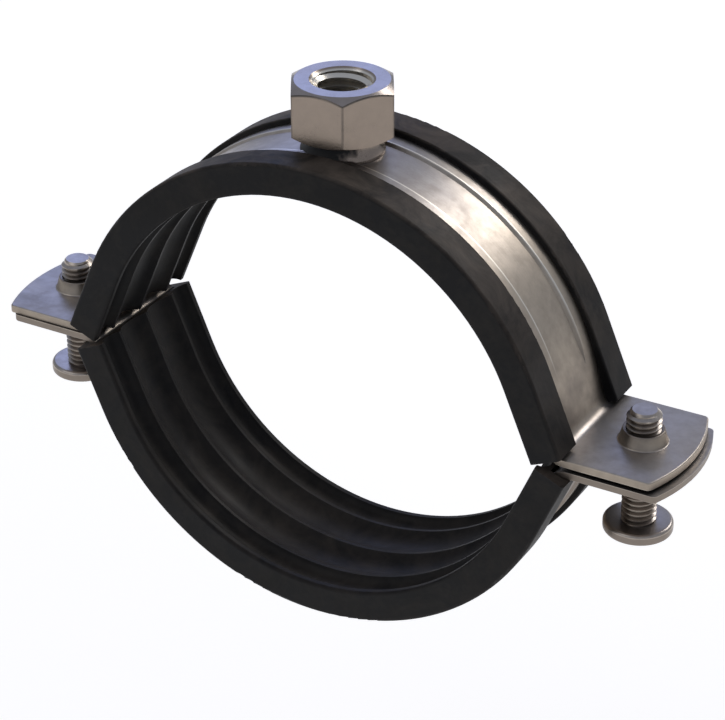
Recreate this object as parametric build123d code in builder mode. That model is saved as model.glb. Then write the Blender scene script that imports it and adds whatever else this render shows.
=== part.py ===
from build123d import *
from math import atan, cos, degrees, isclose, radians, sin, sqrt, tan
import os

# Rubber lined pipe clamp: two steel halves with rubber linings, a hanger nut and two screws.
# Units are millimetres. The pipe runs along Y, the nut and the screws stand along Z, and the
# origin is where the pipe's axis meets the parting plane under the upper ears.

# Ring shape, the same for both halves
bore_radius = 41.5          # from the centre of a half's arc to the crests of its lining
upper_arc_depth = 3.9       # that centre lies this far beyond the half's own parting plane
lower_arc_depth = 5.0
strip_end_angle = 17.0      # below this angle each end of a strip runs straight
lining_end_angle = 23.0     # the same for the rubber, so that its lips thicken towards the ends

# Steel strip
strip_width = 25.0
strip_thickness = 1.35
strip_edge_round = 0.3      # of the edges on the side away from the pipe
bend_inside_radius = 2.0
channel_width = 9.1         # floor of the channel pressed round the outside
channel_depth = 0.45
channel_ramp = 0.6          # width of each sloping side of the channel
channel_end_angle = 25.2    # below this angle the channel runs out
channel_overrun = 0.4       # carries each run-out on past the face it leaves

# Ears
screw_stand_off = 9.9       # from the foot of the ring's outside to the middle of a screw
ear_past_screw = 6.5        # from the middle of a screw to the corners of an ear
ear_crown = 2.6             # how far the curved end of an ear stands past its corners
ear_corner_round = 1.0
collar_radius = 4.2         # at its foot
collar_rim_radius = 3.55
collar_height = 2.3
collar_foot_round = 0.3
collar_rim_round = 0.2
slot_side_clearance = 0.8   # each side of a screw
slot_play = 0.9             # from the middle of a slot to the centre of each round end

# Rubber lining
lining_base = 3.4           # from the crests out to the seat of the strip
lining_side_wall = 2.15     # beside the strip's edges
lip_thickness = 1.0
lip_overlap = 4.4           # of each lip over the strip
slot_overrun = 1.5          # carries the strip's slot on past the parting plane
lining_edge_round = 0.6
lip_tip_round = 0.35
seat_clearance = 0.05       # between rubber and steel
rib_pitch = 8.5
rib_crest_width = 0.6
rim_crest_width = 1.3       # from the side face to the first flute
flute_depth = 1.6
lining_gap = 0.1            # between the two linings where they meet

# How the lower half hangs under the upper one
ear_gap_left = 0.1
ear_gap_right = 0.6
lower_slip = 1.2            # to the right, within the play of the slots
lower_shift = 0.4           # towards the front

# Hanger nut
nut_thread_radius = 5.0
thread_clearance = 0.05
nut_across_flats = 17.0
nut_height = 9.5
nut_face_radius = 8.1       # of the flat ring inside the corner chamfers
nut_chamfer_angle = 30.0
nut_mouth_chamfer = 0.55    # at both ends of the thread
chamfer_angle = 45.0
neck_height = 2.65          # from the channel's floor to the hexagon
neck_radius = 6.2
neck_foot_radius = 7.2      # the neck widens to this in a hollow curve

# Screws, put in from below
screw_radius = 3.0
screw_length = 21.1         # under the head
screw_tip = 7.2             # above the parting plane
tip_chamfer = 0.4
head_radius = 6.0
head_rim_height = 1.9
head_dome_height = 1.3
head_edge_round = 0.65
drive_width = 1.2
drive_reach = 2.9
drive_depth = 1.9
drive_taper = 6.0

# Worked out from the values above
bend_angle = 90.0 - strip_end_angle
seat_radius = bore_radius + lining_base
strip_inner_radius = seat_radius + seat_clearance
strip_middle_radius = strip_inner_radius + strip_thickness / 2
strip_outer_radius = strip_inner_radius + strip_thickness
channel_floor_radius = strip_outer_radius - channel_depth
channel_slope = channel_ramp / channel_depth
bump_floor_radius = strip_inner_radius - channel_depth
bump_width = channel_width + 2 * strip_thickness * tan(atan(channel_depth / channel_ramp) / 2)
slot_side = strip_width / 2 + seat_clearance
lining_side = slot_side + lining_side_wall
lip_inner_edge = strip_width / 2 - lip_overlap
lip_outer_height = lining_base + strip_thickness + 2 * seat_clearance + lip_thickness
ring_foot = strip_outer_radius / cos(radians(strip_end_angle))
ring_foot -= upper_arc_depth * tan(radians(strip_end_angle))
screw_x = ring_foot + screw_stand_off
ear_reach = screw_x + ear_past_screw
collar_taper = degrees(atan((collar_radius - collar_rim_radius) / collar_height))
nut_seat = channel_floor_radius - upper_arc_depth
nut_bottom = nut_seat + neck_height
nut_top = nut_bottom + nut_height
nut_bore_radius = nut_thread_radius + thread_clearance
nut_corner_radius = nut_across_flats / sqrt(3)
nut_chamfer = (nut_corner_radius - nut_face_radius) * tan(radians(nut_chamfer_angle))
screw_places = [(-screw_x, 0), (screw_x, 0)]

# Each half is drawn in its own frame: local X to the right, local Y away from the parting plane
lower_tilt = atan((ear_gap_right - ear_gap_left) / (2 * screw_x))
upper_frame = Plane(origin=(0, 0, 0), x_dir=(1, 0, 0), z_dir=(0, -1, 0))
lower_frame = Plane(
    origin=(lower_slip, -lower_shift, -(ear_gap_left + ear_gap_right) / 2),
    x_dir=(cos(lower_tilt), 0, -sin(lower_tilt)),
    z_dir=(0, 1, 0),
)


def ear_plane(frame, height=0.0):
    """Plane along the ears of a half, its Z away from the parting plane."""
    return Plane(origin=frame.from_local_coords((0, height)), x_dir=frame.x_dir, z_dir=frame.y_dir)


def arch(frame, arc_depth, radius, angle, left_run, right_run):
    """Arc over the ring down to an angle on each side, carried on by straight tangent ends."""
    crown = (0, radius - arc_depth)
    with BuildLine(frame) as line:
        left = JernArc(crown, (-1, 0), radius, 90 - angle)
        right = JernArc(crown, (1, 0), radius, angle - 90)
        Line(left @ 1, left @ 1 + (left % 1) * left_run)
        Line(right @ 1, right @ 1 + (right % 1) * right_run)
    return Wire(line.edges())


def section_plane(frame, arc_depth, wire):
    """Plane across the start of an arch, its Y pointing away from the pipe."""
    outward = wire @ 0 - frame.from_local_coords((0, -arc_depth))
    return Plane(origin=wire @ 0, x_dir=outward.cross(wire % 0), z_dir=wire % 0)


def run_out(radius, face_radius):
    """Length of a straight tangent that leaves the smaller radius and just passes the larger one."""
    return sqrt(face_radius**2 - radius**2) + channel_overrun


def drop_run(radius, arc_depth, angle, height):
    """Length of the straight from the end of an arc down to a height over the parting plane."""
    return (radius * sin(radians(angle)) - arc_depth - height) / cos(radians(angle))


def strip_centre_line(arc_depth):
    """Middle of the bent strip from ear to ear, in a half's own frame."""
    bend_radius = bend_inside_radius + strip_thickness / 2
    bend_drop = bend_radius * (1 - cos(radians(bend_angle)))
    run = drop_run(strip_middle_radius, arc_depth, strip_end_angle, strip_thickness / 2 + bend_drop)
    with BuildLine() as line:
        crown = (0, strip_middle_radius - arc_depth)
        arc = JernArc(crown, (1, 0), strip_middle_radius, -bend_angle)
        straight = Line(arc @ 1, arc @ 1 + (arc % 1) * run)
        bend = JernArc(straight @ 1, straight % 1, bend_radius, bend_angle)
        Line(bend @ 1, (ear_reach + 2 * ear_crown, (bend @ 1).Y))
        mirror(about=Plane.YZ)
    return line.line


def ear_outline():
    """Outline of the strip from above, with its curved and rounded ends."""
    half_width = strip_width / 2
    with BuildSketch() as outline:
        with BuildLine():
            ThreePointArc((ear_reach, -half_width), (ear_reach + ear_crown, 0), (ear_reach, half_width))
            Line((ear_reach, half_width), (-ear_reach, half_width))
            ThreePointArc((-ear_reach, half_width), (-ear_reach - ear_crown, 0), (-ear_reach, -half_width))
            Line((-ear_reach, -half_width), (ear_reach, -half_width))
        make_face()
        fillet(outline.vertices(), radius=ear_corner_round)
    return outline.sketch


def channel_section(width, height):
    """Trapezoid that widens outwards at the channel's slope."""
    half = width / 2
    with BuildSketch() as section:
        Polygon(
            (-half, 0), (half, 0), (half + height * channel_slope, height),
            (-half - height * channel_slope, height), align=None,
        )
    return section.sketch


def lining_outline():
    """Half of the rubber's section without its slot, ribs inwards, from its middle to one side."""
    flute_edge = rib_crest_width / 2
    rim_edge = lining_side - rim_crest_width
    middle_flute = rib_pitch / 2
    outer_flute = (rib_pitch + rim_edge) / 2
    lip_middle = (lip_inner_edge + lining_side) / 2
    with BuildSketch() as section:
        with BuildLine():
            Line((0, 0), (flute_edge, 0))
            ThreePointArc((flute_edge, 0), (middle_flute, flute_depth), (rib_pitch - flute_edge, 0))
            Line((rib_pitch - flute_edge, 0), (rib_pitch + flute_edge, 0))
            ThreePointArc((rib_pitch + flute_edge, 0), (outer_flute, flute_depth), (rim_edge, 0))
            FilletPolyline(
                (rim_edge, 0), (lining_side, 0), (lining_side, lip_outer_height),
                (lip_middle, lip_outer_height), radius=lining_edge_round,
            )
            FilletPolyline(
                (lip_middle, lip_outer_height), (lip_inner_edge, lip_outer_height),
                (lip_inner_edge, lining_base), radius=lip_tip_round,
            )
            Polyline((lip_inner_edge, lining_base), (0, lining_base), (0, 0))
        make_face()
        mirror(about=Plane.YZ)
    return section.sketch


def slot_outline():
    """Section of the slot that takes the strip, open outwards between the lips."""
    slot_top = strip_thickness + 2 * seat_clearance
    with BuildSketch() as section:
        Polygon((-slot_side, 0), (slot_side, 0), (slot_side, slot_top), (-slot_side, slot_top), align=None)
        Polygon(
            (-lip_inner_edge, 0), (lip_inner_edge, 0), (lip_inner_edge, lip_outer_height),
            (-lip_inner_edge, lip_outer_height), align=None,
        )
    return section.sketch


def faces_along(face, direction):
    """True for a flat face that looks in this direction."""
    return face.geom_type == GeomType.PLANE and isclose(face.normal_at().dot(direction), 1)


def pressed_strip(frame, arc_depth):
    """Steel strip bent to one half of the ring, with its ears and its pressed channel."""
    floor_run = run_out(channel_floor_radius, strip_outer_radius)
    bump_run = run_out(bump_floor_radius, strip_inner_radius)
    floor_wire = arch(frame, arc_depth, channel_floor_radius, channel_end_angle, floor_run, floor_run)
    bump_wire = arch(frame, arc_depth, bump_floor_radius, channel_end_angle, bump_run, bump_run)
    with BuildPart() as strip:
        with BuildSketch(frame):
            trace(strip_centre_line(arc_depth), line_width=strip_thickness)
        extrude(amount=strip_width / 2, both=True)
        with BuildSketch(ear_plane(frame)):
            add(ear_outline())
        extrude(amount=2 * bore_radius, mode=Mode.INTERSECT)
        ears = strip.faces().filter_by(lambda face: faces_along(face, frame.y_dir))
        fillet(ears.edges().filter_by(Axis.Y, reverse=True), radius=strip_edge_round)
        with BuildSketch(section_plane(frame, arc_depth, bump_wire)):
            add(channel_section(bump_width, channel_depth + strip_thickness / 2))
        sweep(path=bump_wire)
        with BuildSketch(section_plane(frame, arc_depth, floor_wire)):
            add(channel_section(channel_width, channel_depth + strip_thickness))
        sweep(path=floor_wire, mode=Mode.SUBTRACT)
    return strip.part


def is_ring(edge, radius):
    """True for a circular edge of this radius."""
    return edge.geom_type == GeomType.CIRCLE and isclose(edge.radius, radius, rel_tol=1e-6)


def rubber_half(frame, arc_depth, left_height, right_height):
    """Rubber half, cut square to its straight ends at these heights over its parting plane."""
    left_run = drop_run(bore_radius, arc_depth, lining_end_angle, left_height)
    right_run = drop_run(bore_radius, arc_depth, lining_end_angle, right_height)
    wire = arch(frame, arc_depth, bore_radius, lining_end_angle, left_run, right_run)
    slot_run = drop_run(seat_radius, arc_depth, strip_end_angle, -slot_overrun)
    slot_wire = arch(frame, arc_depth, seat_radius, strip_end_angle, slot_run, slot_run)
    with BuildPart() as rubber:
        with BuildSketch(section_plane(frame, arc_depth, wire)):
            add(lining_outline())
        sweep(path=wire)
        with BuildSketch(section_plane(frame, arc_depth, slot_wire)):
            add(slot_outline())
        sweep(path=slot_wire, mode=Mode.SUBTRACT)
    return rubber.part


def pan_head_screw(axis_x):
    """Pan head machine screw standing tip up, with a cross drive under its head."""
    bearing = screw_tip - screw_length
    rim_bottom = bearing - head_rim_height
    crown = rim_bottom - head_dome_height
    with BuildPart() as screw:
        with BuildSketch(Plane.XZ) as profile:
            with BuildLine():
                TangentArc((0, crown), (head_radius, rim_bottom), tangent=(1, 0))
                Polyline(
                    (head_radius, rim_bottom), (head_radius, bearing), (screw_radius, bearing),
                    (screw_radius, screw_tip - tip_chamfer), (screw_radius - tip_chamfer, screw_tip),
                    (0, screw_tip), (0, crown),
                )
            make_face()
            fillet(profile.vertices().sort_by(Axis.X)[-2:], radius=head_edge_round)
        revolve(axis=Axis.Z)
        with BuildSketch(Plane.XY.offset(crown)):
            Rectangle(2 * drive_reach, drive_width)
            Rectangle(drive_width, 2 * drive_reach)
        extrude(amount=drive_depth, taper=drive_taper, mode=Mode.SUBTRACT)
    return Pos(axis_x, 0, 0) * screw.part


with BuildPart() as upper_band:
    add(pressed_strip(upper_frame, upper_arc_depth))
    with BuildSketch(ear_plane(upper_frame, strip_thickness)):
        with Locations(*screw_places):
            Circle(collar_radius)
    extrude(amount=collar_height, taper=collar_taper)
    collar_feet = upper_band.edges().filter_by(lambda edge: is_ring(edge, collar_radius))
    fillet(collar_feet, radius=collar_foot_round)
    collar_rims = upper_band.edges().filter_by(lambda edge: is_ring(edge, collar_rim_radius))
    fillet(collar_rims, radius=collar_rim_round)
    with BuildSketch(ear_plane(upper_frame)):
        with Locations(*screw_places):
            Circle(screw_radius + thread_clearance)
    extrude(amount=strip_thickness + collar_height, mode=Mode.SUBTRACT)
upper_band.part.label = "upper_band"

with BuildPart() as lower_band:
    add(pressed_strip(lower_frame, lower_arc_depth))
    with BuildSketch(ear_plane(lower_frame)):
        with Locations(*screw_places):
            SlotCenterToCenter(2 * slot_play, 2 * (screw_radius + slot_side_clearance))
    extrude(amount=strip_thickness, mode=Mode.SUBTRACT)
lower_band.part.label = "lower_band"

# The two linings leave the same gap at both ends, although the lower half hangs at a slant.
# The rubber gives way to the inside of the pressed channel and to the bends.
gap_middle = (ear_gap_left + ear_gap_right) / 2
gap_swing = (ear_gap_right - ear_gap_left) / 2 * bore_radius / screw_x

with BuildPart() as upper_lining:
    add(rubber_half(upper_frame, upper_arc_depth, lining_gap / 2, lining_gap / 2))
    add(upper_band.part, mode=Mode.SUBTRACT)
upper_lining.part.label = "upper_lining"

with BuildPart() as lower_lining:
    left_height = lining_gap / 2 - gap_middle + gap_swing
    right_height = lining_gap / 2 - gap_middle - gap_swing
    add(rubber_half(lower_frame, lower_arc_depth, left_height, right_height))
    add(lower_band.part, mode=Mode.SUBTRACT)
lower_lining.part.label = "lower_lining"

with BuildPart() as connection_nut:
    with BuildSketch(Plane.XY.offset(nut_bottom)):
        RegularPolygon(nut_across_flats / 2, 6, major_radius=False)
    extrude(amount=nut_height)
    with BuildSketch(Plane.XZ):
        Polygon(
            (0, nut_bottom), (nut_face_radius, nut_bottom),
            (nut_corner_radius, nut_bottom + nut_chamfer), (nut_corner_radius, nut_top - nut_chamfer),
            (nut_face_radius, nut_top), (0, nut_top), align=None,
        )
    revolve(axis=Axis.Z, mode=Mode.INTERSECT)
    with BuildSketch(Plane.XZ):
        with BuildLine():
            TangentArc((neck_radius, nut_bottom), (neck_foot_radius, nut_seat), tangent=(0, -1))
            Polyline(
                (neck_foot_radius, nut_seat), (neck_foot_radius, nut_seat - neck_foot_radius),
                (0, nut_seat - neck_foot_radius), (0, nut_bottom), (neck_radius, nut_bottom),
            )
        make_face()
    revolve(axis=Axis.Z)
    with BuildSketch(Plane.XY.offset(nut_top)):
        Circle(nut_bore_radius)
    extrude(amount=-nut_top, mode=Mode.SUBTRACT)
    mouth = connection_nut.edges().filter_by(lambda edge: is_ring(edge, nut_bore_radius))
    chamfer(mouth.group_by(Axis.Z)[-1], length=nut_mouth_chamfer)
    with BuildSketch(Plane.XY.offset(nut_seat + nut_mouth_chamfer)):
        Circle(nut_bore_radius)
    extrude(amount=-2 * nut_mouth_chamfer, taper=-chamfer_angle, mode=Mode.SUBTRACT)
    with BuildSketch(Plane.XZ.offset(-strip_width)):
        with Locations((0, -upper_arc_depth)):
            Circle(channel_floor_radius)
    extrude(amount=2 * strip_width, mode=Mode.SUBTRACT)
    add(upper_band.part, mode=Mode.SUBTRACT)
connection_nut.part.label = "connection_nut"

with BuildPart() as left_screw:
    add(pan_head_screw(-screw_x))
left_screw.part.label = "left_screw"

with BuildPart() as right_screw:
    add(pan_head_screw(screw_x))
right_screw.part.label = "right_screw"

os.makedirs("parts", exist_ok=True)
for piece in (
    upper_band, lower_band, upper_lining, lower_lining, connection_nut, left_screw, right_screw,
):
    export_step(piece.part, f"parts/{piece.part.label}.step")
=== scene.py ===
# %% [markdown]
# # Rubber lined pipe clamp
# The clamp is two pressed steel halves with black rubber linings. A hexagonal nut on a neck is
# welded on the crown, and two pan head screws pull the halves together at the ears. The solids
# come from the CAD frame at their real places, in metres. This script gives them their finishes
# and adds what the solids leave out: the screw threads, the marks of plating and moulding, and
# painted light and shade.

from math import cos, hypot, pi, radians, sin, tan

import bmesh
import bpy
from mathutils import Matrix, Vector


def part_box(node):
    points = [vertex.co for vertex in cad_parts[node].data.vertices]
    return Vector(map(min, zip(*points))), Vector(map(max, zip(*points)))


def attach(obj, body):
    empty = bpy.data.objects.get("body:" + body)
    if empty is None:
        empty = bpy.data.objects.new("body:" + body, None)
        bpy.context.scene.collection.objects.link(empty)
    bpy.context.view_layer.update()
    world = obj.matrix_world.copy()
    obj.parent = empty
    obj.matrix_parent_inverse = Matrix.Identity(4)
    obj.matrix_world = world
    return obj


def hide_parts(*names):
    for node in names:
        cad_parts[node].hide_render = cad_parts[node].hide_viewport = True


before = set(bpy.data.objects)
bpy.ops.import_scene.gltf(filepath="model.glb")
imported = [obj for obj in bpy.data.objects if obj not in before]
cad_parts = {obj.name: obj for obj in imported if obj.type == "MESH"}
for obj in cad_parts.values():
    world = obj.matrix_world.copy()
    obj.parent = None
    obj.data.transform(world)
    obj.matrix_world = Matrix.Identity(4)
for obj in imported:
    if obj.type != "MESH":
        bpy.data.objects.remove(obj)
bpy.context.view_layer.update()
MM = 0.001
print("frame nodes:", sorted(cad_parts))

# %% [markdown]
# ## Camera
# A clamp is easiest to understand from a little above and beside the pipe's run, where the open
# ring, one ear and the crown nut all show. The camera is placed by its bearing round the clamp,
# its height and its distance, so each can be changed alone. A long lens keeps the ring's ellipse
# free of distortion.

# %% Camera
AZIMUTH, ELEVATION, ROLL = 29.56, 28.65, -0.10
DISTANCE = 412.7 * MM
TARGET = Vector((4.68, 0, 3.31)) * MM
FOCAL_PIXELS = 2361.0
FRAME_WIDTH = 725
SHIFT_RIGHT, SHIFT_UP = -5.01, -5.32  # pixels
SENSOR_WIDTH = 36.0


def studio_camera():
    azimuth, elevation = radians(AZIMUTH), radians(ELEVATION)
    back = Vector((sin(azimuth) * cos(elevation), -cos(azimuth) * cos(elevation), sin(elevation)))
    right = Vector((0, 0, 1)).cross(back).normalized()
    axes = Matrix((right, back.cross(right), back)).transposed()
    lens = bpy.data.cameras.new("clamp_camera")
    lens.sensor_fit = "HORIZONTAL"
    lens.sensor_width = SENSOR_WIDTH
    lens.lens = FOCAL_PIXELS * SENSOR_WIDTH / FRAME_WIDTH
    lens.shift_x = SHIFT_RIGHT / FRAME_WIDTH
    lens.shift_y = SHIFT_UP / FRAME_WIDTH
    camera = bpy.data.objects.new("clamp_camera", lens)
    turned = axes @ Matrix.Rotation(radians(ROLL), 3, "Z")
    camera.matrix_world = Matrix.Translation(TARGET + back * DISTANCE) @ turned.to_4x4()
    bpy.context.scene.collection.objects.link(camera)
    bpy.context.scene.camera = camera
    return camera


camera = studio_camera()
print("camera at", [round(v / MM, 1) for v in camera.location], "mm")

# %% [markdown]
# ## Helpers for node trees
# Every finish below is a small tree of nodes. These helpers add one node, set its plain inputs
# and link the rest, so that each finish reads as a list of steps instead of a page of wiring.

# %% Node helpers
def feed(tree, socket, value):
    """Link another node's output into a socket, or set a plain value on it."""
    if isinstance(value, bpy.types.NodeSocket):
        tree.links.new(value, socket)
    else:
        socket.default_value = value


def add_node(tree, kind, settings=None, **inputs):
    """Add a node. Its inputs are found by name, or by position as i0, i1 and so on."""
    node = tree.nodes.new(kind)
    for name, value in (settings or {}).items():
        setattr(node, name, value)
    for name, value in inputs.items():
        by_position = name[0] == "i" and name[1:].isdigit()
        feed(tree, node.inputs[int(name[1:]) if by_position else name], value)
    return node


def math_step(tree, operation, first, second=0.0, third=0.0, clamp=False):
    """One step of arithmetic, giving its result's socket."""
    settings = {"operation": operation, "use_clamp": clamp}
    return add_node(tree, "ShaderNodeMath", settings, i0=first, i1=second, i2=third).outputs[0]


def times(tree, first, second):
    """One value times another, which for two masks is where both hold."""
    return math_step(tree, "MULTIPLY", first, second)


def remap(tree, value, low, high, to_low=0.0, to_high=1.0):
    """Stretch a value from one range to another, held at both ends."""
    node = add_node(
        tree, "ShaderNodeMapRange", {"clamp": True}, i0=value, i1=low, i2=high, i3=to_low, i4=to_high,
    )
    return node.outputs[0]


def noise(tree, place, scale, detail=3.0, roughness=0.55, distortion=0.0):
    """Soft cloudy noise, its scale in features per metre."""
    node = add_node(
        tree, "ShaderNodeTexNoise", None, Vector=place, Scale=scale, Detail=detail,
        Roughness=roughness, Distortion=distortion,
    )
    return node.outputs[0]


def blend_colors(tree, amount, first, second):
    """Mix two colours by an amount from 0 to 1."""
    node = add_node(tree, "ShaderNodeMix", {"data_type": "RGBA"}, i0=amount, i6=first, i7=second)
    return node.outputs[2]


print("helpers for nodes: a step of arithmetic, a new range, noise and a blend of colours")

# %% [markdown]
# ## Helpers for places and directions
# Marks, wear and painted light and shade depend on where a point lies on the clamp and which way
# its surface faces. The Texture Coordinate node gives the place in object coordinates, which stay
# with the piece when it moves, and the Geometry node gives the normal. Taking them apart leaves
# plain numbers.

# %% Place and direction helpers
def object_place(tree):
    """The place of a surface point in object coordinates."""
    return tree.nodes.new("ShaderNodeTexCoord").outputs["Object"]


def surface_normal(tree):
    """The direction that the surface faces."""
    return tree.nodes.new("ShaderNodeNewGeometry").outputs["Normal"]


def apart(tree, vector):
    """The three parts of a vector."""
    return add_node(tree, "ShaderNodeSeparateXYZ", None, Vector=vector).outputs


def upward_part(tree):
    """How far the surface faces up: 1 for a level top, 0 for a standing wall."""
    return apart(tree, surface_normal(tree))["Z"]


def dot(tree, first, second):
    """Dot product, which measures how far two directions agree."""
    settings = {"operation": "DOT_PRODUCT"}
    return add_node(tree, "ShaderNodeVectorMath", settings, i0=first, i1=second).outputs["Value"]


def from_middle(tree, value):
    """Distance from the middle of the clamp along one axis, alike on both sides."""
    return math_step(tree, "ABSOLUTE", value)


print("helpers for places: object place, normal, their parts and the distance from the middle")

# %% [markdown]
# ## Helpers for materials
# A shader group is a node that holds other nodes. It is built once, with named inputs, and each
# material places it with its own values. A material itself starts with one shader.

# %% Group and material helpers
def new_group(name, inputs, outputs):
    """Start a shader group with named number or vector sockets."""
    tree = bpy.data.node_groups.new(name, "ShaderNodeTree")
    kinds = {"number": "NodeSocketFloat", "vector": "NodeSocketVector"}
    for socket_name, kind, value in inputs:
        socket = tree.interface.new_socket(socket_name, in_out="INPUT", socket_type=kinds[kind])
        if value is not None:
            socket.default_value = value
    for socket_name, kind in outputs:
        tree.interface.new_socket(socket_name, in_out="OUTPUT", socket_type=kinds[kind])
    start = tree.nodes.new("NodeGroupInput").outputs
    end = tree.nodes.new("NodeGroupOutput").inputs
    return tree, start, end


def use_group(tree, group, **inputs):
    """Place a shader group in a material with its own values."""
    node = tree.nodes.new("ShaderNodeGroup")
    node.node_tree = group
    for name, value in inputs.items():
        feed(tree, node.inputs[name.capitalize()], value)
    return node.outputs


def new_material(name):
    """Start a material, giving also its node tree and its shader."""
    material = bpy.data.materials.new(name)
    material.use_nodes = True
    tree = material.node_tree
    return material, tree, tree.nodes["Principled BSDF"]


def add_relief(tree, shader, height, strength, depth):
    """Give a shader fine relief from a height that changes over the surface."""
    bump = add_node(tree, "ShaderNodeBump", None, Strength=strength, Distance=depth, Height=height)
    tree.links.new(bump.outputs["Normal"], shader.inputs["Normal"])


print("helpers for materials: a new group, its use, a new material and its relief")

# %% [markdown]
# ## Worn edges
# Handling and tumbling in the plating barrel polish the corners of metal first and rub the bloom
# off the corners of rubber. The Bevel node finds corners without any change to the mesh: it
# gives the normal as if the edges were rounded, and where that normal leans away from the real
# one, there is an edge. A noise breaks the line up so that the wear isn't even.

# %% Edge wear group
EDGE_STARTS, EDGE_FULL = 0.975, 0.80
SOFT_SAMPLES = 16


def edge_wear_group():
    tree, start, end = new_group(
        "edge_wear",
        [("Place", "vector", None), ("Width", "number", 0.4 * MM), ("Breakup", "number", 500.0)],
        [("Edge", "number")],
    )
    bevel = add_node(tree, "ShaderNodeBevel", {"samples": SOFT_SAMPLES}, Radius=start["Width"])
    agreement = dot(tree, bevel.outputs["Normal"], surface_normal(tree))
    edge = remap(tree, agreement, EDGE_STARTS, EDGE_FULL)
    patches = remap(tree, noise(tree, start["Place"], start["Breakup"]), 0.35, 0.6, 0.35, 1.0)
    tree.links.new(times(tree, edge, patches), end["Edge"])
    return tree


edge_wear = edge_wear_group()
print("group", edge_wear.name, "has", [item.name for item in edge_wear.interface.items_tree])

# %% [markdown]
# ## Smears
# Fingers, oil and wash water leave soft cloudy patches that are a little duller than the clean
# surface. Two sizes of noise are added: a wide one, bent so that its patches have drawn-out
# tails, and a fine one that roughens their outlines.

# %% Smear group
FINE_TO_WIDE = 7.0


def smear_group():
    tree, start, end = new_group(
        "smears",
        [("Place", "vector", None), ("Scale", "number", 60.0), ("Amount", "number", 0.5)],
        [("Smear", "number")],
    )
    wide = noise(tree, start["Place"], start["Scale"], detail=4.0, roughness=0.6, distortion=1.6)
    fine = noise(tree, start["Place"], times(tree, start["Scale"], FINE_TO_WIDE), detail=2.0)
    both = math_step(tree, "MULTIPLY_ADD", fine, 0.35, wide)
    tree.links.new(times(tree, remap(tree, both, 0.58, 0.86), start["Amount"]), end["Smear"])
    return tree


smears = smear_group()
print("group", smears.name, "has", [item.name for item in smears.interface.items_tree])

# %% [markdown]
# ## Drawn lines
# Sheet steel keeps fine lines from the rolling mill, and extruded rubber keeps the same kind of
# lines from its die. Both run along the strip, round the ring. Noise that is squeezed hard
# across the width, and hardly at all along the strip, gives lines that follow the bend by
# themselves, because the bend lies in the plane of the other two axes.

# %% Drawn line group
def drawn_line_group():
    tree, start, end = new_group(
        "drawn_lines",
        [("Place", "vector", None), ("Across", "number", 3000.0), ("Along", "number", 60.0)],
        [("Lines", "number")],
    )
    squeeze = add_node(
        tree, "ShaderNodeCombineXYZ", None, X=start["Along"], Y=start["Across"], Z=start["Along"],
    )
    squeezed = add_node(
        tree, "ShaderNodeVectorMath", {"operation": "MULTIPLY"}, i0=start["Place"], i1=squeeze.outputs[0],
    )
    lines = noise(tree, squeezed.outputs[0], 1.0, roughness=0.6)
    tree.links.new(lines, end["Lines"])
    return tree


drawn_lines = drawn_line_group()
print("group", drawn_lines.name, "has", [item.name for item in drawn_lines.interface.items_tree])

# %% [markdown]
# ## Painted corner shade, dust and sheen, and upward faces
# Painted shade darkens the corners, along the foot of a collar or the sides of a pressed
# channel. The Ambient Occlusion node measures how closed in a point is by its own object and its
# neighbours. Dust lies on what faces up, though less of it inside the ring, where the surface
# faces back towards the pipe's axis, and the same mask also paints a brown sheen there. The
# upward part of the normal also tells which faces mirror the sky. All three give plain masks,
# which the finishes use for painted shade, for dust and sheen, and for painted reflection.

# %% Corner shade, dust and sheen, and upward groups
CLOSED_STARTS, CLOSED_FULL = 0.86, 0.35
# Where dust, and the brown sheen painted with it, lie on faces that look up.
DUST_AND_SHEEN_STARTS, DUST_AND_SHEEN_FULL = 0.15, 0.9
DUST_AND_SHEEN_INSIDE_RING = 0.25
FACES_IN, FACES_OUT = -10 * MM, 20 * MM


# Painted shade: a mask for closed-in corners, where the finishes darken the colour as shade.
def shade_in_corners_group():
    tree, start, end = new_group(
        "shade_in_corners", [("Reach", "number", 1.0 * MM), ("Amount", "number", 0.6)], [("Shade", "number")],
    )
    sky = add_node(
        tree, "ShaderNodeAmbientOcclusion", {"samples": SOFT_SAMPLES}, Distance=start["Reach"],
    )
    closed = remap(tree, sky.outputs["AO"], CLOSED_STARTS, CLOSED_FULL)
    tree.links.new(times(tree, closed, start["Amount"]), end["Shade"])
    return tree


# Dust on faces that look up, which also paints a brown sheen on the tops of the rubber.
def dust_and_sheen_group():
    tree, start, end = new_group(
        "dust_and_sheen", [("Place", "vector", None), ("Amount", "number", 0.5)], [("Dust_and_sheen", "number")],
    )
    lying = remap(tree, upward_part(tree), DUST_AND_SHEEN_STARTS, DUST_AND_SHEEN_FULL)
    outward = dot(tree, start["Place"], surface_normal(tree))
    open_side = remap(tree, outward, FACES_IN, FACES_OUT, DUST_AND_SHEEN_INSIDE_RING, 1.0)
    cloud = noise(tree, start["Place"], 110.0, detail=4.0, roughness=0.65, distortion=0.9)
    patches = remap(tree, cloud, 0.36, 0.7, 0.15, 1.0)
    dust_and_sheen_mask = times(tree, times(tree, lying, open_side), patches)
    tree.links.new(times(tree, dust_and_sheen_mask, start["Amount"]), end["Dust_and_sheen"])
    return tree


def upward_group():
    tree, start, end = new_group(
        "facing_up", [("Low", "number", 0.3), ("High", "number", 0.9)], [("Up", "number")],
    )
    tree.links.new(remap(tree, upward_part(tree), start["Low"], start["High"]), end["Up"])
    return tree


facing_up = upward_group()
shade_in_corners = shade_in_corners_group()
dust_and_sheen = dust_and_sheen_group()
print("shared groups:", [group.name for group in bpy.data.node_groups])
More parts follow.
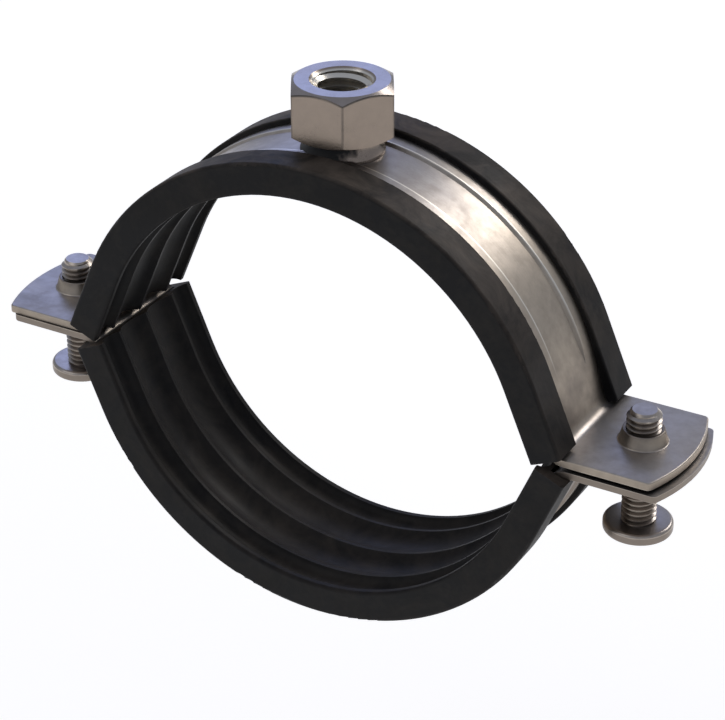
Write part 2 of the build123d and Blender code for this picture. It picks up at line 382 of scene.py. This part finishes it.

# %% [markdown]
# ## Painted light and marks on the plated sheet
# A painted highlight, a thin bright line, runs along each shoulder of the channel, and it fades
# out before the ears. At the parting of the ring the steel inside it, seen through the gap
# between the linings, is painted black as shade. A little above and below the parting the skin
# of the strip is duller, because the clamp is held there while its screws are turned. Each of
# them is a mask worked out from the place on the clamp, which puts it where the real one is and
# needs no painted image.

# %% Masks for the sheet
SHOULDER = 5.25 * MM
LINE_REACH, LINE_CORE = 0.30 * MM, 0.08 * MM
LINE_END, LINE_FADES = 43.5 * MM, 39.0 * MM
# Painted shade at the parting: how far it reaches inside the ring and from the parting.
GAP_SHADE_X, GAP_SHADE_Z = 44.35 * MM, 2.0 * MM
GAP_SHADE_FADE_X, GAP_SHADE_FADE_Z = 0.25 * MM, 0.3 * MM
HANDLED_END, HANDLED_FADES = 22 * MM, 10 * MM
CLEAN_BY_PARTING, HANDLED_FROM = 2.0 * MM, 3.5 * MM
HANDLED_CLOUDS = 150.0  # features per metre


def shoulder_highlight(tree, place):
    """Painted highlight: a thin bright line along each shoulder of the pressed channel."""
    spot = apart(tree, place)
    off_line = math_step(tree, "SUBTRACT", from_middle(tree, spot["Y"]), SHOULDER)
    line = remap(tree, math_step(tree, "ABSOLUTE", off_line), LINE_REACH, LINE_CORE)
    run_out = remap(tree, from_middle(tree, spot["X"]), LINE_END, LINE_FADES)
    return times(tree, line, run_out)


def gap_shade(tree, place):
    """Painted shade: the steel inside the ring at the parting, seen through the gap between the linings,
    painted black.
    """
    spot = apart(tree, place)
    sideways, height = from_middle(tree, spot["X"]), from_middle(tree, spot["Z"])
    inside = remap(tree, sideways, GAP_SHADE_X + GAP_SHADE_FADE_X, GAP_SHADE_X)
    near = remap(tree, height, GAP_SHADE_Z + GAP_SHADE_FADE_Z, GAP_SHADE_Z)
    return times(tree, inside, near)


def handled_patch(tree, place):
    """Duller skin on the strip near the parting, where hands hold the clamp."""
    height = from_middle(tree, apart(tree, place)["Z"])
    cloud = remap(tree, noise(tree, place, HANDLED_CLOUDS), 0.35, 0.65, 0.5, 1.0)
    held = remap(tree, height, HANDLED_END, HANDLED_FADES)
    clear = remap(tree, height, CLEAN_BY_PARTING, HANDLED_FROM)
    return times(tree, times(tree, held, clear), cloud)


print("masks for the sheet: shoulder lines at", round(SHOULDER / MM, 2), "mm from the middle of the strip")

# %% [markdown]
# ## Painted light and shade on the nut
# The neck is painted dark as shade and as a dark reflection, patchy towards the right. A dark
# line is painted along the chamfer and thinner ones along the corners of the hexagon, while the
# bore is painted lighter as the light inside it. The chamfer is a cone round the upright axis,
# so its line is found from the distance to that axis and the height below the top.

# %% Masks for the nut
NUT_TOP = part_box("connection_nut")[1][2]
NUT_FACE_RADIUS, NUT_CORNER_RADIUS = 8.1 * MM, 9.81 * MM
CHAMFER_SLOPE = tan(radians(30))
CHAMFER_LINE_REACH, CHAMFER_LINE_CORE = 0.42 * MM, 0.10 * MM
CORNER_LINE_REACH, CORNER_LINE_CORE = 0.16 * MM, 0.04 * MM
CORNER_LINE_STRENGTH = 0.35
BORE_REACH, BORE_CORE = 5.4 * MM, 5.2 * MM
NECK_TOP, NECK_FADE = 44.7 * MM, 0.15 * MM
# Where the painted shade on the neck reaches and how patchy it is.
NECK_SHADE_WANDER = 10 * MM
NECK_SHADE_END, NECK_SHADE_FADES = 10.5 * MM, 8.0 * MM
NECK_SHADE_CLOUDS, LINE_CLOUDS = 420.0, 300.0  # features per metre


def from_axis(tree, place):
    """Distance from the upright axis through the nut."""
    spot = apart(tree, place)
    flat = add_node(tree, "ShaderNodeCombineXYZ", None, X=spot["X"], Y=spot["Y"])
    length = add_node(tree, "ShaderNodeVectorMath", {"operation": "LENGTH"}, i0=flat.outputs[0])
    return length.outputs["Value"]


def bore_light(tree, place):
    """Painted light: the thread and wall inside the nut are painted lighter."""
    return remap(tree, from_axis(tree, place), BORE_REACH, BORE_CORE)


def neck_shade(tree, place):
    """Painted shade and dark reflection on the neck, patchy towards the right."""
    spot = apart(tree, place)
    on_neck = remap(tree, spot["Z"], NECK_TOP + NECK_FADE, NECK_TOP - NECK_FADE)
    wander = math_step(tree, "MULTIPLY_ADD", noise(tree, place, NECK_SHADE_CLOUDS), NECK_SHADE_WANDER, spot["X"])
    return times(tree, on_neck, remap(tree, wander, NECK_SHADE_END, NECK_SHADE_FADES))


def nut_darkening(tree, place):
    """Painted shade on the neck, and the dark lines painted along the chamfer and the corners."""
    radius = from_axis(tree, place)
    fall = times(tree, math_step(tree, "SUBTRACT", radius, NUT_FACE_RADIUS), CHAMFER_SLOPE)
    cone = math_step(tree, "SUBTRACT", NUT_TOP, fall)
    below = math_step(tree, "SUBTRACT", cone, apart(tree, place)["Z"])
    side = use_group(tree, facing_up, low=0.4, high=0.2)["Up"]
    chamfer = times(tree, remap(tree, below, CHAMFER_LINE_REACH, CHAMFER_LINE_CORE), side)
    reach, core = NUT_CORNER_RADIUS - CORNER_LINE_REACH, NUT_CORNER_RADIUS - CORNER_LINE_CORE
    corner = remap(tree, radius, reach, core, 0.0, CORNER_LINE_STRENGTH)
    # Dark lines painted along the chamfer and the corners, broken up by noise.
    line_breakup = remap(tree, noise(tree, place, LINE_CLOUDS), 0.35, 0.6, 0.45, 0.9)
    outline = times(tree, math_step(tree, "MAXIMUM", chamfer, corner), line_breakup)
    return math_step(tree, "MAXIMUM", outline, neck_shade(tree, place))


print("masks for the nut, its top at", round(NUT_TOP / MM, 2), "mm")

# %% [markdown]
# ## Zinc plating
# Bright zinc with a thin passivated skin isn't one grey. Faces that look up are tinted a little
# blue in patches, partly the passivated skin's own tint and partly a painted reflection of the
# cool sky, and the rest is warmer. Faces that stand or look down are painted darker as shade,
# most of all on the lower half. The steel shows through as mottling, dull smears lie over it,
# painted shade darkens the corners and the edges are rubbed. One recipe serves sheet, nut and
# screws, and each gives it its own scale, strengths, painted light and marks. The metal stays
# fully metallic, except where it is painted dark, so the tint, the roughness and the relief carry
# the variation.

# %% Zinc plating
# Blue for faces that look up: partly the passivated skin's tint, partly a painted reflection of the cool
# sky.
SKY_TINTED_ZINC = (0.425, 0.405, 0.410, 1)
# Dull zinc: the colour of mottling, smears and held patches, and also painted shade on faces that stand or
# look down.
DULL_AND_SHADED_ZINC = (0.20, 0.17, 0.145, 1)
# Colour of the painted shade in the corners.
PAINTED_CORNER_SHADE = (0.10, 0.088, 0.075, 1)
# Pale zinc for painted light: the highlights along the channel's shoulders and the lit bore of the nut.
PAINTED_LIGHT_ZINC = (0.78, 0.74, 0.67, 1)
# Near black for painted dark: the shade at the parting, the shade on the nut's neck and the lines on the
# nut.
PAINTED_DARK = (0.012, 0.011, 0.010, 1)
PLATED_EDGE_WIDTH = 0.4 * MM
CORNER_SHADE_REACH = 0.9 * MM
# How much painted shade the faces that stand or look down get on the upper and the lower half.
SHADE_ON_UPPER_HALF, SHADE_ON_LOWER_HALF = 0.55, 0.90
LOWER_HALF_STARTS = -0.3 * MM
SKIN_CLOUDS, METAL_GRAIN = 70.0, 2600.0  # features per metre
RUBBED_SHARE = 0.6
SMEAR_ROUGHENS, DARK_ROUGHENS, RUBBING_SMOOTHS = 0.22, 0.35, -0.08
DARK_MOTTLE_ROUGHENS, PALE_MOTTLE_SMOOTHS = 0.12, -0.05
GRAIN_HEIGHT, METAL_RELIEF, METAL_RELIEF_STRENGTH = 0.35, 0.06 * MM, 0.35


def skin_with_sky_and_shade(tree, place, warm):
    """Colour of the clean skin: bluish in patches where it faces up, partly a painted reflection of the
    sky, and painted darker as shade where it doesn't, most on the lower half.
    """
    patches = remap(tree, noise(tree, place, SKIN_CLOUDS, 3.0, 0.5, 0.4), 0.30, 0.70, 0.55, 1.0)
    level = use_group(tree, facing_up, low=0.62, high=0.97)["Up"]
    # Painted reflection of the cool sky on faces that look up, broken into patches.
    color = blend_colors(tree, times(tree, level, patches), warm, SKY_TINTED_ZINC)
    # Painted shade on faces that stand or look down, stronger on the lower half.
    not_up = use_group(tree, facing_up, low=0.22, high=0.04)["Up"]
    shade_by_height = remap(
        tree, apart(tree, place)["Z"], 0.0, LOWER_HALF_STARTS,
        SHADE_ON_UPPER_HALF, SHADE_ON_LOWER_HALF,
    )
    return blend_colors(tree, times(tree, not_up, shade_by_height), color, DULL_AND_SHADED_ZINC)


def zinc_plating(
    name, warm, edge_color, mottle_scale, mottling, roughness, corner_shade_amount,
    line_strength=0.0, handled=0.0, painted_light=None, darkening=None,
):
    """A plated finish. The last two are functions for its painted light and for where it is painted dark,
    if any.
    """
    material, tree, shader = new_material(name)
    place = object_place(tree)
    mottle = noise(tree, place, mottle_scale, detail=4.0, roughness=0.6)
    smear = use_group(tree, smears, place=place, scale=SKIN_CLOUDS, amount=mottling)["Smear"]
    corner_shade = use_group(tree, shade_in_corners, reach=CORNER_SHADE_REACH, amount=corner_shade_amount)["Shade"]
    edge = use_group(tree, edge_wear, place=place, width=PLATED_EDGE_WIDTH)["Edge"]

    color = skin_with_sky_and_shade(tree, place, warm)
    color = blend_colors(tree, remap(tree, mottle, 0.36, 0.62, mottling, 0.0), color, DULL_AND_SHADED_ZINC)
    color = blend_colors(tree, smear, color, DULL_AND_SHADED_ZINC)
    if handled:
        patch = times(tree, handled_patch(tree, place), handled)
        color = blend_colors(tree, patch, color, DULL_AND_SHADED_ZINC)
    # Painted shade in the closed-in corners.
    color = blend_colors(tree, corner_shade, color, PAINTED_CORNER_SHADE)
    color = blend_colors(tree, times(tree, edge, RUBBED_SHARE), color, edge_color)
    # Painted light: highlights along the shoulders on the sheet, the lit bore in the nut.
    if painted_light:
        color = blend_colors(tree, painted_light(tree, place), color, PAINTED_LIGHT_ZINC)

    rough = math_step(tree, "MULTIPLY_ADD", smear, SMEAR_ROUGHENS, roughness)
    grainy = remap(tree, mottle, 0.3, 0.7, DARK_MOTTLE_ROUGHENS, PALE_MOTTLE_SMOOTHS)
    rough = math_step(tree, "MULTIPLY_ADD", grainy, mottling, rough)
    # Painted dark: shade at the parting on the sheet, shade and lines on the nut; there the surface is
    # also rougher and not metallic.
    if darkening:
        darkened = darkening(tree, place)
        color = blend_colors(tree, darkened, color, PAINTED_DARK)
        rough = math_step(tree, "MULTIPLY_ADD", darkened, DARK_ROUGHENS, rough)
        tree.links.new(math_step(tree, "SUBTRACT", 1.0, darkened), shader.inputs["Metallic"])
    else:
        shader.inputs["Metallic"].default_value = 1.0
    rough = math_step(tree, "MULTIPLY_ADD", edge, RUBBING_SMOOTHS, rough, clamp=True)
    tree.links.new(color, shader.inputs["Base Color"])
    tree.links.new(rough, shader.inputs["Roughness"])

    height = times(tree, noise(tree, place, METAL_GRAIN, detail=1.0), GRAIN_HEIGHT)
    if line_strength:
        lines = use_group(tree, drawn_lines, place=place)["Lines"]
        height = math_step(tree, "MULTIPLY_ADD", lines, line_strength, height)
    add_relief(tree, shader, height, METAL_RELIEF_STRENGTH, METAL_RELIEF)
    return material


print("recipe for zinc plating ready, its blue skin", SKY_TINTED_ZINC[:3], "and its dull skin", DULL_AND_SHADED_ZINC[:3])

# %% [markdown]
# ## Three plated finishes
# The rolled sheet has strong drawn lines and is the roughest. The nut is smoother and browner,
# with faint lines and dark rubbed edges. The screws have the finest mottling and no lines,
# because they are headed and rolled from wire.

# %% Sheet, nut and screw finishes
BRIGHT_EDGE = (0.62, 0.57, 0.50, 1)
BROWN_EDGE = (0.13, 0.10, 0.08, 1)

zinc_sheet = zinc_plating(
    "zinc_sheet", warm=(0.54, 0.465, 0.375, 1), edge_color=BRIGHT_EDGE, mottle_scale=420.0,
    mottling=0.24, roughness=0.37, corner_shade_amount=0.75, line_strength=0.8, handled=0.90,
    painted_light=shoulder_highlight, darkening=gap_shade,
)
zinc_nut = zinc_plating(
    "zinc_nut", warm=(0.37, 0.30, 0.245, 1), edge_color=BROWN_EDGE, mottle_scale=520.0,
    mottling=0.14, roughness=0.24, corner_shade_amount=0.25, line_strength=0.25,
    painted_light=bore_light, darkening=nut_darkening,
)
zinc_screw = zinc_plating(
    "zinc_screw", warm=(0.50, 0.44, 0.38, 1), edge_color=BRIGHT_EDGE, mottle_scale=700.0,
    mottling=0.25, roughness=0.30, corner_shade_amount=0.5,
)
print("plated finishes:", zinc_sheet.name, zinc_nut.name, zinc_screw.name)

# %% [markdown]
# ## Moulded rubber
# The lining is a black synthetic rubber, extruded as a profile, bent into the band and cut. It
# is nearly black and matt, with a faint brown bloom where it has been touched and on its
# corners, pale brown dust on top that is also a painted brown sheen, fine lines along the
# profile and a leathery micro-grain. Its specular level is kept low on the shader itself,
# because carbon black swallows most of what a smooth plastic shows.

# %% Rubber finish
COLD_RUBBER, WARM_RUBBER = (0.0046, 0.0046, 0.0054, 1), (0.0084, 0.0077, 0.0073, 1)
TOUCHED_RUBBER, RUBBED_CORNER = (0.024, 0.021, 0.018, 1), (0.045, 0.042, 0.040, 1)
# Pale dust, which also serves as a painted brown sheen.
PALE_DUST_AND_SHEEN = (0.130, 0.102, 0.080, 1)
RUBBER_EDGE_WIDTH = 0.45 * MM
RUBBER_CLOUDS, RUBBER_SMEARS, RUBBER_GRAIN = 80.0, 95.0, 3600.0  # features per metre
RUBBER_ROUGHNESS, RUBBER_SHINE = 0.42, 0.17
CLOUD_ROUGHENS, LINES_ROUGHEN, TOUCH_ROUGHENS = 0.10, 0.12, 0.08
RUBBER_RELIEF, RUBBER_RELIEF_STRENGTH = 0.08 * MM, 0.3


def lining_rubber():
    material, tree, shader = new_material("lining_rubber")
    place = object_place(tree)
    cloud = remap(tree, noise(tree, place, RUBBER_CLOUDS, 4.0, 0.6, 0.6), 0.36, 0.66)
    smear = use_group(tree, smears, place=place, scale=RUBBER_SMEARS, amount=0.7)["Smear"]
    dust_and_sheen_mask = use_group(tree, dust_and_sheen, place=place, amount=0.85)["Dust_and_sheen"]
    edge = use_group(tree, edge_wear, place=place, width=RUBBER_EDGE_WIDTH, breakup=900.0)["Edge"]
    lines = use_group(tree, drawn_lines, place=place, across=2200.0, along=35.0)["Lines"]

    color = blend_colors(tree, cloud, COLD_RUBBER, WARM_RUBBER)
    color = blend_colors(tree, smear, color, TOUCHED_RUBBER)
    # Dust on the tops, also a painted brown sheen.
    color = blend_colors(tree, dust_and_sheen_mask, color, PALE_DUST_AND_SHEEN)
    color = blend_colors(tree, times(tree, edge, 0.5), color, RUBBED_CORNER)
    tree.links.new(color, shader.inputs["Base Color"])

    rough = math_step(tree, "MULTIPLY_ADD", cloud, CLOUD_ROUGHENS, RUBBER_ROUGHNESS)
    rough = math_step(tree, "MULTIPLY_ADD", lines, LINES_ROUGHEN, rough)
    rough = math_step(tree, "MULTIPLY_ADD", smear, TOUCH_ROUGHENS, rough)
    tree.links.new(rough, shader.inputs["Roughness"])
    shader.inputs["Specular IOR Level"].default_value = RUBBER_SHINE

    grain = times(tree, noise(tree, place, RUBBER_GRAIN, detail=2.0), 0.5)
    height = math_step(tree, "MULTIPLY_ADD", lines, 0.7, grain)
    add_relief(tree, shader, height, RUBBER_RELIEF_STRENGTH, RUBBER_RELIEF)
    return material


rubber = lining_rubber()
print("rubber finish:", rubber.name)

# %% [markdown]
# ## Finishes on the solids
# Every solid from the frame gets its finish. The linings and the nut are shown as they are. The
# bands and the screws are shown as dressed copies of their solids, which the next steps make.

# %% Assign the finishes
FINISHES = {
    "upper_band": zinc_sheet, "lower_band": zinc_sheet, "connection_nut": zinc_nut,
    "upper_lining": rubber, "lower_lining": rubber,
    "left_screw": zinc_screw, "right_screw": zinc_screw,
}


def dress(node_name, finish):
    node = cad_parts[node_name]
    if not node.material_slots:
        node.data.materials.append(finish)
    for slot in node.material_slots:
        slot.material = finish
    return len(node.data.polygons)


for node_name, finish in FINISHES.items():
    print(f"{node_name:15s} {finish.name:14s} {dress(node_name, finish)} faces")

# %% [markdown]
# ## Smoothly pressed bands
# The pressed channel fades out into the strip a little above each bend. In the solid its floor
# leaves the strip at a slight angle, which would show as a crease in polished sheet. Each band
# is copied, its loose triangles are merged, and only edges sharper than a press leaves are kept
# crisp. The same two helpers also finish the screws and the thread in the nut further down.

# %% Bands
SAME_PLACE = 1e-6  # metres between corners that are one
CRISP_EDGE = 28  # degrees, for cut and turned shapes
PRESSED_EDGE = 14  # degrees, for pressed sheet


def merged_copy(node_name):
    """A copy of a solid with its loose triangles merged."""
    shape = bmesh.new()
    shape.from_mesh(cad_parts[node_name].data)
    bmesh.ops.remove_doubles(shape, verts=shape.verts, dist=SAME_PLACE)
    return shape


def finished_piece(name, shape, finish, body, crisp=CRISP_EDGE):
    """Turn a bmesh into a piece that rides on a body, crisp at edges over an angle in degrees."""
    bmesh.ops.recalc_face_normals(shape, faces=shape.faces)
    for face in shape.faces:
        face.smooth = True
    for edge in shape.edges:
        edge.smooth = len(edge.link_faces) == 2 and edge.calc_face_angle(0) < radians(crisp)
    mesh = bpy.data.meshes.new(name)
    shape.to_mesh(mesh)
    shape.free()
    mesh.materials.append(finish)
    piece = bpy.data.objects.new(name, mesh)
    bpy.context.scene.collection.objects.link(piece)
    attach(piece, body)
    return piece


def pressed_band(node_name, body):
    band = finished_piece("pressed_" + node_name, merged_copy(node_name), zinc_sheet, body, PRESSED_EDGE)
    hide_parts(node_name)
    print(band.name, len(band.data.polygons), "faces")


pressed_band("upper_band", "upper_half")
pressed_band("lower_band", "lower_half")

# %% [markdown]
# ## A spun thread
# A screw thread is one small profile carried round and along the axis. Spin does exactly that
# when it is given a step along the axis as well as a turn. A profile that starts and ends on the
# same radius one pitch apart lets each turn meet the next, and merging the doubles closes the
# skin. The ends are then cut level, or eased towards the core or the wall.

# %% Thread helpers
STEPS_PER_TURN = 48
ON_THE_CUT = 1e-7  # metres


def spin_up(shape, geometry, pitch, turns):
    """Carry a profile round Z and along it by one pitch a turn, then merge what meets."""
    bmesh.ops.spin(
        shape, geom=geometry, cent=(0, 0, 0), axis=(0, 0, 1), dvec=(0, 0, pitch / STEPS_PER_TURN),
        angle=2 * pi * turns, steps=STEPS_PER_TURN * turns, use_merge=False, use_duplicate=False,
    )
    bmesh.ops.remove_doubles(shape, verts=shape.verts, dist=SAME_PLACE)


def cut_level(shape, height, keep_below):
    """Cut a shape level and close it with a flat face."""
    geometry = shape.verts[:] + shape.edges[:] + shape.faces[:]
    cut = bmesh.ops.bisect_plane(
        shape, geom=geometry, dist=ON_THE_CUT, plane_co=(0, 0, height), plane_no=(0, 0, 1),
        clear_outer=keep_below, clear_inner=not keep_below,
    )
    rim = [item for item in cut["geom_cut"] if isinstance(item, bmesh.types.BMEdge)]
    bmesh.ops.edgeloop_fill(shape, edges=rim)


def shift_radius(vertex, change):
    """Scale a vertex's distance from the Z axis."""
    vertex.co.x *= change
    vertex.co.y *= change


print("thread helpers ready,", STEPS_PER_TURN, "steps to a turn")

# %% [markdown]
# ## Screws
# The two clamp screws are coarse M6 screws. Their heads, with the drive in the underside, come
# from the solid: a copy is merged and cut off at the bearing face. The shank is spun as a
# thread with flat crests and roots and goes a little way into the head. At the tip the crests
# run down a cone, as the end of a rolled thread does.

# %% Screws with threads
SCREW_PITCH = 1.0 * MM
CREST_RADIUS = 3.0 * MM
ROOT_RADIUS = 2.42 * MM
ROOT_ENDS, CREST_STARTS, CREST_ENDS = 0.2, 0.52, 0.68  # parts of one pitch
SPARE_TURNS = 2
TIP_CONE = 0.9 * MM
HEAD_OVERLAP = 0.3 * MM
ABOVE_BEARING = 0.01 * MM
HEAD_TO_THREAD = 1.2


def bearing_and_tip(node_name):
    """Heights of a screw's bearing face, where its wide head ends, and of its tip."""
    low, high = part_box(node_name)
    middle = (low[0] + high[0]) / 2
    corners = [vertex.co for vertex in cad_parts[node_name].data.vertices]
    least = CREST_RADIUS * HEAD_TO_THREAD
    head = [corner.z for corner in corners if hypot(corner.x - middle, corner.y) > least]
    return max(head), max(corner.z for corner in corners)


def threaded_shank(bottom, tip):
    shape = bmesh.new()
    profile = (
        (0, ROOT_RADIUS), (ROOT_ENDS, ROOT_RADIUS), (CREST_STARTS, CREST_RADIUS),
        (CREST_ENDS, CREST_RADIUS), (1, ROOT_RADIUS),
    )
    start = bottom - SPARE_TURNS * SCREW_PITCH
    corners = [shape.verts.new((radius, 0, start + part * SCREW_PITCH)) for part, radius in profile]
    sides = [shape.edges.new(pair) for pair in zip(corners, corners[1:])]
    turns = int((tip - bottom) / SCREW_PITCH) + 2 * SPARE_TURNS
    spin_up(shape, corners + sides, SCREW_PITCH, turns)
    cut_level(shape, tip, keep_below=True)
    cut_level(shape, bottom, keep_below=False)
    for vertex in shape.verts:
        radius = hypot(vertex.co.x, vertex.co.y)
        allowed = CREST_RADIUS - max(0.0, vertex.co.z - (tip - TIP_CONE))
        if radius > allowed:
            shift_radius(vertex, allowed / radius)
    return shape


def clamp_screw(node_name, body):
    low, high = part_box(node_name)
    axis_x = (low[0] + high[0]) / 2
    bearing, tip = bearing_and_tip(node_name)
    shape = threaded_shank(bearing - HEAD_OVERLAP, tip)
    bmesh.ops.translate(shape, verts=shape.verts, vec=(axis_x, 0, 0))
    shank = bpy.data.meshes.new(node_name + "_shank")
    shape.to_mesh(shank)
    shape.free()
    head = merged_copy(node_name)
    cut_level(head, bearing + ABOVE_BEARING, keep_below=True)
    head.from_mesh(shank)
    bpy.data.meshes.remove(shank)
    screw = finished_piece("threaded_" + node_name, head, zinc_screw, body)
    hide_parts(node_name)
    print(screw.name, "axis at", round(axis_x / MM, 2), "mm,", len(screw.data.polygons), "faces")


clamp_screw("left_screw", "left_screw")
clamp_screw("right_screw", "right_screw")

# %% [markdown]
# ## Thread of the hanger nut
# The nut takes a hanger rod, so its bore is threaded through. The solid's bore has the size of
# the thread's outside. The ridge that the rod's thread runs in is one closed profile spun up the
# bore, with its foot sunk a little in the wall so that no gap shows, and it fades into the wall
# at both mouths.

# %% Thread in the nut
NUT_PITCH = 1.5 * MM
NUT_WALL = 5.05 * MM
NUT_CREST = 4.22 * MM
FOOT_LOW, RIDGE_LOW, RIDGE_HIGH, FOOT_HIGH = 0.05, 0.42, 0.58, 0.95  # parts of one pitch
WALL_OVERLAP = 0.07 * MM
MOUTH_FADE = 0.9 * MM
LEAST_RIDGE = 0.05  # part of the full height that is left at a mouth
NUT_THREAD_DROP = 11.9 * MM
MOUTH_GAP = 0.15 * MM


def nut_thread(bottom, top):
    shape = bmesh.new()
    foot = NUT_WALL + WALL_OVERLAP
    profile = ((FOOT_LOW, foot), (RIDGE_LOW, NUT_CREST), (RIDGE_HIGH, NUT_CREST), (FOOT_HIGH, foot))
    corners = [shape.verts.new((radius, 0, bottom + part * NUT_PITCH)) for part, radius in profile]
    face = shape.faces.new(corners)
    turns = int((top - bottom) / NUT_PITCH)
    spin_up(shape, corners + list(face.edges) + [face], NUT_PITCH, turns)
    for vertex in shape.verts:
        radius = hypot(vertex.co.x, vertex.co.y)
        room = min(vertex.co.z - bottom, top - vertex.co.z)
        least = foot - (foot - NUT_CREST) * min(1.0, max(LEAST_RIDGE, room / MOUTH_FADE))
        if radius < least:
            shift_radius(vertex, least / radius)
    return finished_piece("hanger_nut_thread", shape, zinc_nut, "upper_half")


thread = nut_thread(NUT_TOP - NUT_THREAD_DROP, NUT_TOP - MOUTH_GAP)
print(thread.name, len(thread.data.polygons), "faces")

# %% [markdown]
# ## Floor
# The clamp hangs over a wide pale floor, an ordinary matt surface that takes a soft shadow. Lamps
# alone would leave it a light grey. So it also gives off some light of its own, which only the
# camera, mirrors and glass see: it is white behind the clamp and throws no extra light on it.

# %% Floor
FLOOR_HEIGHT = -120 * MM
FLOOR_RADIUS = 4.0
FLOOR_CORNERS = 96
FLOOR_COLOR = (0.85, 0.82, 0.775, 1)
FLOOR_LIFT = 0.55


def pale_floor():
    shape = bmesh.new()
    bmesh.ops.create_circle(shape, cap_ends=True, radius=FLOOR_RADIUS, segments=FLOOR_CORNERS)
    bmesh.ops.translate(shape, verts=shape.verts, vec=(0, 0, FLOOR_HEIGHT))
    mesh = bpy.data.meshes.new("studio_floor")
    shape.to_mesh(mesh)
    shape.free()
    material, tree, shader = new_material("studio_floor")
    shader.inputs["Base Color"].default_value = FLOOR_COLOR
    shader.inputs["Roughness"].default_value = 0.9
    shader.inputs["Specular IOR Level"].default_value = 0.1
    shader.inputs["Emission Color"].default_value = (1, 1, 1, 1)
    ray = tree.nodes.new("ShaderNodeLightPath").outputs
    seen = math_step(tree, "MAXIMUM", ray["Is Camera Ray"], ray["Is Glossy Ray"])
    seen = math_step(tree, "MAXIMUM", seen, ray["Is Transmission Ray"])
    tree.links.new(times(tree, seen, FLOOR_LIFT), shader.inputs["Emission Strength"])
    mesh.materials.append(material)
    floor = bpy.data.objects.new("studio_floor", mesh)
    bpy.context.scene.collection.objects.link(floor)
    return floor


print(pale_floor().name, "lies at", round(FLOOR_HEIGHT / MM), "mm")

# %% [markdown]
# ## Lamps and room
# Three soft lamps stand round the clamp: the main one behind it and to the right, where the
# rounded band mirrors it, a cool one behind on the left and a weak wide one in front. A lamp
# shines along its own -Z, so its Z axis is turned to point away from the clamp. A faintly blue
# grey room fills in the rest.

# %% Lamps and room
def soft_lamp(name, direction, distance, size, watts, color):
    data = bpy.data.lights.new(name, "AREA")
    data.shape = "SQUARE"
    data.size = size
    data.energy = watts
    data.color = color
    lamp = bpy.data.objects.new(name, data)
    direction = Vector(direction).normalized()
    turn = direction.to_track_quat("Z", "Y").to_matrix().to_4x4()
    lamp.matrix_world = Matrix.Translation(direction * distance) @ turn
    bpy.context.scene.collection.objects.link(lamp)


def grey_room(color, level):
    world = bpy.data.worlds.new("grey_room")
    world.use_nodes = True
    background = world.node_tree.nodes["Background"]
    background.inputs["Color"].default_value = color
    background.inputs["Strength"].default_value = level
    bpy.context.scene.world = world


soft_lamp(
    "main_softbox", (0.262, 0.763, 0.591), distance=1.2, size=0.42, watts=3.3, color=(1.0, 0.96, 0.91),
)
soft_lamp(
    "cool_window", (-0.52, 0.74, 0.46), distance=1.0, size=0.50, watts=0.8, color=(0.40, 0.50, 1.0),
)
soft_lamp(
    "front_fill", (-0.45, -0.70, 0.70), distance=1.5, size=1.00, watts=2.0, color=(1.0, 0.98, 0.96),
)
grey_room(color=(0.80, 0.86, 1.0, 1), level=0.40)
bpy.context.scene.view_settings.view_transform = "Standard"
print("lamps:", [light.name for light in bpy.data.lights])
